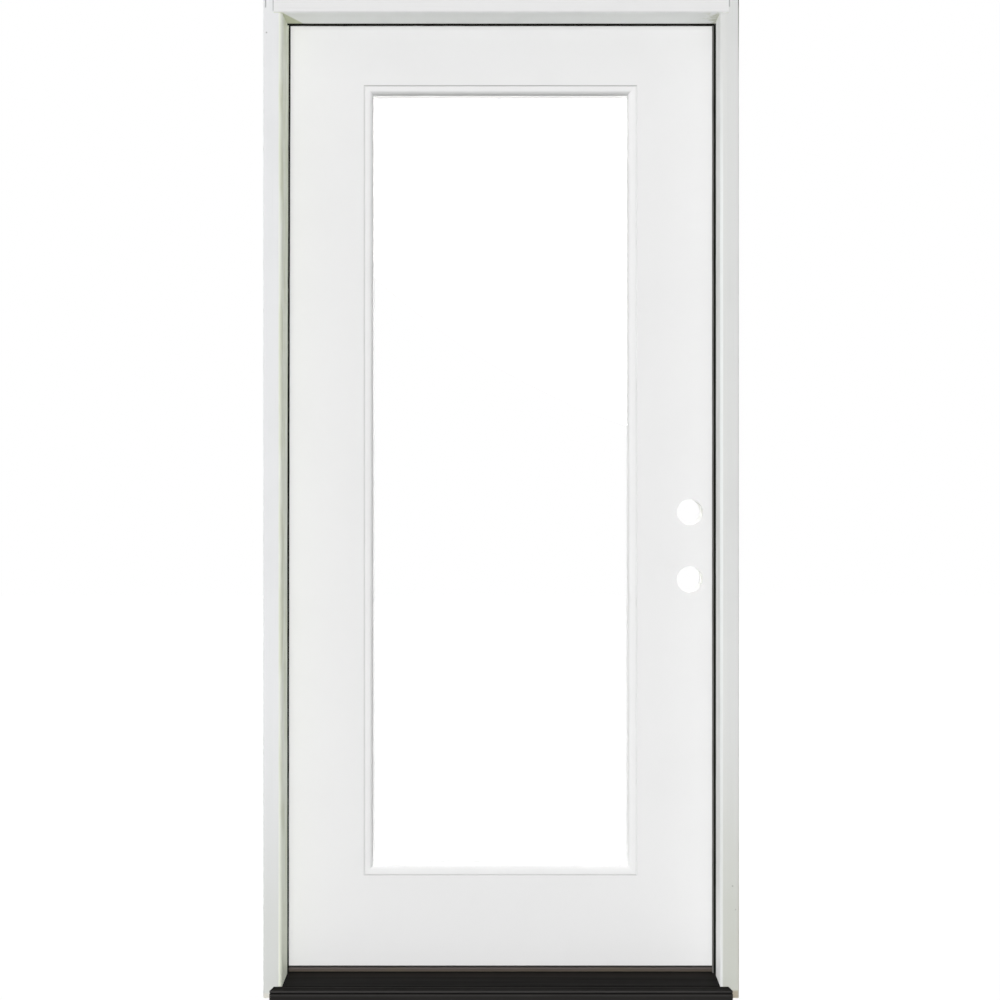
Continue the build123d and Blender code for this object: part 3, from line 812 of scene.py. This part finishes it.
def head_point(station, place):
    """Place on the head's strip, its bulb uneven by a hair."""
    sway = waviness(station) if place[0] < HEAD_BULB_WIDTH else 0.0
    return (station, place[1], STOP_TOP - SIDE_PROUD + place[0] + sway)


head_stations = spread(-SEAL_OUTER, SEAL_OUTER, HEAD_STATIONS)
head_strip = run("head_seal", plain_profile, head_stations, head_point, [rubber])
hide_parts("head_weatherstrip")
for strip in (hinge_strip, latch_strip, head_strip):
    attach(strip, "frame")


# Corner pads

PAD_THICK = 0.003
PAD_COLUMNS = 10
PAD_ROWS = 26
PAD_RIM = 0.004
PAD_END = 0.005
PAD_CROWN = 0.0009
PAD_CROWN_MOST = 0.0013
PAD_RIPPLE = 0.00012
PAD_INSET = 0.00015


def pad_height(u, v, width, length):
    """Thickness of a pad at shares u and v of its width and length: crowned, with soft rims and a ripple."""
    rim = min(u, 1 - u) * width
    end = min(v, 1 - v) * length
    drop = max(0.0, 1 - rim / PAD_RIM) ** 2 + max(0.0, 1 - end / PAD_END) ** 2
    ripple = PAD_RIPPLE * math.sin(v * 41.0 + u * 3.0) * math.sin(u * 9.0)
    return PAD_THICK - PAD_INSET - min(PAD_CROWN_MOST, PAD_CROWN * drop) + ripple


def corner_pad(name, side, node):
    """Closed-cell foam pad at the foot of a rabbet."""
    low, high = corners(node)
    width = high.y - low.y
    length = high.z - low.z
    verts = []
    for row in range(PAD_ROWS + 1):
        v = row / PAD_ROWS
        for column in range(PAD_COLUMNS + 1):
            u = column / PAD_COLUMNS
            x = RABBET_HALF - pad_height(u, v, width, length)
            verts.append((side * x, low.y + u * width, low.z + v * length))
    count = len(verts)
    verts += [(side * RABBET_HALF, y, z) for _, y, z in verts]
    faces = []
    wide = PAD_COLUMNS + 1
    for row in range(PAD_ROWS):
        for column in range(PAD_COLUMNS):
            near = row * wide + column
            far = near + wide
            faces.append((near, near + 1, far + 1, far))
            faces.append((count + near, count + far, count + far + 1, count + near + 1))
    rims = (
        [row * wide for row in range(PAD_ROWS + 1)],
        [row * wide + PAD_COLUMNS for row in range(PAD_ROWS + 1)],
        list(range(wide)),
        [PAD_ROWS * wide + column for column in range(wide)],
    )
    for rim in rims:
        for first, following in zip(rim, rim[1:]):
            faces.append((first, following, count + following, count + first))
    made = piece(name, verts, faces, [pad_foam])
    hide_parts(node)
    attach(made, "frame")


corner_pad("hinge_side_foam_pad", -1, "hinge_side_corner_pad")
corner_pad("latch_side_foam_pad", 1, "latch_side_corner_pad")


# Sweep: a ribbed plate with three fins that lean indoors as they brush the cap

FIN_MIDDLES = (0.0185, 0.0335, 0.0485)
FIN_BEND = 0.0009
SWEEP_HALF_DEPTH = 0.0202
SWEEP_PLATE = 0.0018
SWEEP_EASE = 0.0004
SWEEP_GAP = 0.0003
SWEEP_END_GAP = 0.004


def sweep_fin(middle, foot, tip):
    """One fin, from the plate's foot down to its tip on the cap and back up."""
    return [
        (middle - 0.0016, foot),
        (middle - 0.0010, foot - 0.0004),
        (middle - 0.0006, foot - 0.0014),
        (middle - 0.0003 + FIN_BEND * 0.5, tip + 0.0006),
        (middle + FIN_BEND, tip),
        (middle + FIN_BEND + 0.0005, tip + 0.0003),
        (middle + 0.0006 + FIN_BEND * 0.5, tip + 0.0012),
        (middle + 0.0007, foot - 0.0012),
        (middle + 0.0011, foot - 0.0003),
        (middle + 0.0017, foot),
    ]


def sweep_profile():
    """Section of the sweep: depth Y and height Z."""
    front = SLAB_MIDDLE - SWEEP_HALF_DEPTH
    back = SLAB_MIDDLE + SWEEP_HALF_DEPTH
    foot = SLAB_BOTTOM - SWEEP_PLATE
    points = [(front, SLAB_BOTTOM), (front, foot + SWEEP_EASE), (front + SWEEP_EASE, foot)]
    for middle in FIN_MIDDLES:
        points += sweep_fin(middle, foot, CAP_TOP + SWEEP_GAP)
    points += [(back - SWEEP_EASE, foot), (back, foot + SWEEP_EASE), (back, SLAB_BOTTOM)]
    return points


def sweep_point(station, place):
    """Place on the sweep."""
    return (station, place[0], place[1])


sweep_half = SLAB_HALF - SWEEP_END_GAP
sweep_stations = spread(-sweep_half, sweep_half, SWEEP_STATIONS)
sweep_piece = run("sweep_fins", sweep_profile(), sweep_stations, sweep_point, [vinyl])
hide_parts("door_bottom_sweep")
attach(sweep_piece, "door")


# Screws: radius and height of each kind, with the shares of both that shape a head

SCREW_SIDES = 28
FIRST_TURN = 0.7
NEXT_TURN = 1.9
HINGE_SCREW = (0.0043, 0.0003)
CAP_SCREW = (0.0036, 0.00015)
SHOULDER = (0.93, 0.85)
CROWN = 0.80
CROSS_REACH = 0.52
CROSS_HALF = 0.14
RECESS_FLOOR = (0.85, 0.15)
LEAF_HOLES = ((0.020, 0.0385), (0.033, 0.0135), (0.033, -0.0135), (0.020, -0.0385))
CAP_SCREW_DEPTH = 0.0115
CAP_SCREWS = (-0.4, -0.2, 0.0, 0.2, 0.4)


def cross_outline(reach, half):
    """Corners of a cross recess, arm by arm."""
    outline = []
    for quarter in range(4):
        turn = Matrix.Rotation(quarter * math.pi / 2, 3, "Z")
        for corner in ((reach, -half), (reach, half), (half, half)):
            outline.append(turn @ Vector((*corner, 0)))
    return outline


def screw_head(radius, height):
    """Flat countersunk head with a cross recess: points and faces, facing +Z."""
    shaped = bmesh.new()
    angles = spread(0, math.tau, SCREW_SIDES + 1)[:-1]
    rim = [shaped.verts.new((radius * math.cos(a), radius * math.sin(a), 0)) for a in angles]
    outline = cross_outline(radius * CROSS_REACH, radius * CROSS_HALF)

    def ring(points, share, level):
        """New points at a share of the radius, at a level."""
        return [shaped.verts.new((point.x * share, point.y * share, level)) for point in points]

    circle = [vert.co for vert in rim]
    shoulder = ring(circle, SHOULDER[0], height * SHOULDER[1])
    crown = ring(circle, CROWN, height)
    cross = ring(outline, 1.0, height)
    floor = ring(outline, RECESS_FLOOR[0], height * RECESS_FLOOR[1])
    for low, high in ((rim, shoulder), (shoulder, crown), (floor, cross)):
        for index in range(len(low)):
            following = (index + 1) % len(low)
            shaped.faces.new((low[index], low[following], high[following], high[index]))
    loops = []
    for loop in (crown, cross):
        for index in range(len(loop)):
            pair = (loop[index], loop[(index + 1) % len(loop)])
            loops.append(shaped.edges.get(pair) or shaped.edges.new(pair))
    bmesh.ops.triangle_fill(shaped, edges=loops, use_beauty=True)
    shaped.faces.new(floor)
    shaped.faces.new(list(reversed(rim)))
    bmesh.ops.recalc_face_normals(shaped, faces=shaped.faces)
    shaped.verts.index_update()
    verts = [v.co.copy() for v in shaped.verts]
    faces = [tuple(v.index for v in f.verts) for f in shaped.faces]
    shaped.free()
    return verts, faces


def screws(name, body, places, normal, size):
    """Screw heads at places, facing along normal, each turned its own way. size is radius and height."""
    verts = []
    faces = []
    head_verts, head_faces = screw_head(*size)
    aim = Vector(normal).to_track_quat("Z", "Y").to_matrix()
    for index, place in enumerate(places):
        turn = Matrix.Rotation(FIRST_TURN + NEXT_TURN * index, 3, "Z")
        start = len(verts)
        verts += [Vector(place) + aim @ (turn @ point) for point in head_verts]
        faces += [tuple(start + corner for corner in face) for face in head_faces]
    made = piece(name, verts, faces, [screw_steel])
    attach(made, body)


for level, height in HINGES.items():
    on_frame = [(-RABBET_HALF, PIN_Y - forward, height + up) for forward, up in LEAF_HOLES]
    on_door = [(-SLAB_HALF, PIN_Y - forward, height + up) for forward, up in LEAF_HOLES]
    screws(f"{level}_hinge_frame_screws", "frame", on_frame, (1, 0, 0), HINGE_SCREW)
    screws(f"{level}_hinge_door_screws", "door", on_door, (-1, 0, 0), HINGE_SCREW)

cap_places = [(x, CAP_FRONT + CAP_SCREW_DEPTH, CAP_TOP) for x in CAP_SCREWS]
screws("cap_adjusting_screws", "frame", cap_places, (0, 0, 1), CAP_SCREW)


# Camera: level, in front of the middle of the door. Its shift frames the picture as the photograph is framed

CAMERA_DISTANCE = 2.6
CAMERA_HEIGHT = 1.0748
CAMERA_SENSOR = 36.0
CAMERA_LENS = 46.30
CAMERA_SHIFT = (-0.00113, -0.03366)

camera_data = bpy.data.cameras.new("camera")
camera = bpy.data.objects.new("camera", camera_data)
scene.collection.objects.link(camera)
camera.location = (0.0, FRAME_FRONT - CAMERA_DISTANCE, CAMERA_HEIGHT)
camera.rotation_euler = (math.radians(90), 0, 0)
camera_data.sensor_width = CAMERA_SENSOR
camera_data.lens = CAMERA_LENS
camera_data.shift_x, camera_data.shift_y = CAMERA_SHIFT
scene.camera = camera


# Light: a broad front light without shadows, one from above and one indoors, and an even surround

WHITE = (1, 1, 1, 1)
SURROUND = 0.12
FLOOR_HALF = 8
FLOOR_LIGHT = 0.85
FLOOR_BOUNCE = 0.25
FLOOR_GLOW = 1.03
FLOOR_WHITE_SHARE = 0.93


def sun(name, direction, strength, angle, shadow):
    """Parallel light that comes from a direction, spread over an angle and unseen in gloss."""
    data = bpy.data.lights.new(name, "SUN")
    data.energy = strength
    data.angle = math.radians(angle)
    data.use_shadow = shadow
    data.cycles.use_multiple_importance_sampling = shadow
    made = bpy.data.objects.new(name, data)
    scene.collection.objects.link(made)
    made.rotation_euler = Vector(direction).to_track_quat("Z", "Y").to_euler()
    made.visible_glossy = False


sun("front_light", (-0.3, -1.0, 0.15), strength=2.25, angle=120, shadow=False)
sun("upper_light", (-0.3, -1.0, 1.1), strength=0.6, angle=50, shadow=True)
sun("indoor_light", (0.3, 1.0, 0.6), strength=3.1, angle=60, shadow=True)


# White background, seen by the camera and in gloss and glass


def math_node(tree, operation, first, second):
    """Math node on an output and either another output or a number."""
    made = tree.nodes.new("ShaderNodeMath")
    made.operation = operation
    tree.links.new(first, made.inputs[0])
    if isinstance(second, float):
        made.inputs[1].default_value = second
    else:
        tree.links.new(second, made.inputs[1])
    return made.outputs[0]


def white_backdrop(tree, lit, white, share):
    """Shows white to the camera and in gloss and glass, and the lit shader to everything else."""
    path = tree.nodes.new("ShaderNodeLightPath").outputs
    seen = math_node(tree, "MAXIMUM", path["Is Camera Ray"], path["Is Glossy Ray"])
    seen = math_node(tree, "MAXIMUM", seen, path["Is Transmission Ray"])
    mix = tree.nodes.new("ShaderNodeMixShader")
    tree.links.new(math_node(tree, "MULTIPLY", seen, share), mix.inputs[0])
    tree.links.new(lit.outputs[0], mix.inputs[1])
    tree.links.new(white.outputs[0], mix.inputs[2])
    return mix.outputs[0]


def background(tree, strength):
    """White background shader."""
    made = tree.nodes.new("ShaderNodeBackground")
    made.inputs["Color"].default_value = WHITE
    made.inputs["Strength"].default_value = strength
    return made


world = bpy.data.worlds.new("surround")
scene.world = world
world.use_nodes = True
world_tree = world.node_tree
world_tree.nodes.clear()
surround = background(world_tree, SURROUND)
backdrop = background(world_tree, 1.0)
output = world_tree.nodes.new("ShaderNodeOutputWorld")
world_tree.links.new(white_backdrop(world_tree, surround, backdrop, 1.0), output.inputs["Surface"])

floor_mesh = bpy.data.meshes.new("floor")
floor_corners = [(-FLOOR_HALF, -FLOOR_HALF, 0), (FLOOR_HALF, -FLOOR_HALF, 0)]
floor_corners += [(FLOOR_HALF, FLOOR_HALF, 0), (-FLOOR_HALF, FLOOR_HALF, 0)]
floor_mesh.from_pydata(floor_corners, [], [(0, 1, 2, 3)])
floor = bpy.data.objects.new("floor", floor_mesh)
scene.collection.objects.link(floor)

# Floor: pale where lamps and rays meet it, and dull in what it gives back to the door
floor_material = bpy.data.materials.new("floor")
floor_material.use_nodes = True
floor_tree = floor_material.node_tree
floor_tree.nodes.clear()
matt = floor_tree.nodes.new("ShaderNodeBsdfDiffuse")
bounce = floor_tree.nodes.new("ShaderNodeMix")
bounce.data_type = "RGBA"
bounce.inputs["A"].default_value = (FLOOR_LIGHT, FLOOR_LIGHT, FLOOR_LIGHT, 1)
bounce.inputs["B"].default_value = (FLOOR_BOUNCE, FLOOR_BOUNCE, FLOOR_BOUNCE, 1)
path = floor_tree.nodes.new("ShaderNodeLightPath")
floor_tree.links.new(path.outputs["Is Diffuse Ray"], bounce.inputs["Factor"])
floor_tree.links.new(bounce.outputs["Result"], matt.inputs["Color"])
glow = floor_tree.nodes.new("ShaderNodeEmission")
glow.inputs["Strength"].default_value = FLOOR_GLOW
output = floor_tree.nodes.new("ShaderNodeOutputMaterial")
floor_tree.links.new(white_backdrop(floor_tree, matt, glow, FLOOR_WHITE_SHARE), output.inputs["Surface"])
floor_mesh.materials.append(floor_material)

scene.view_settings.view_transform = "Standard"
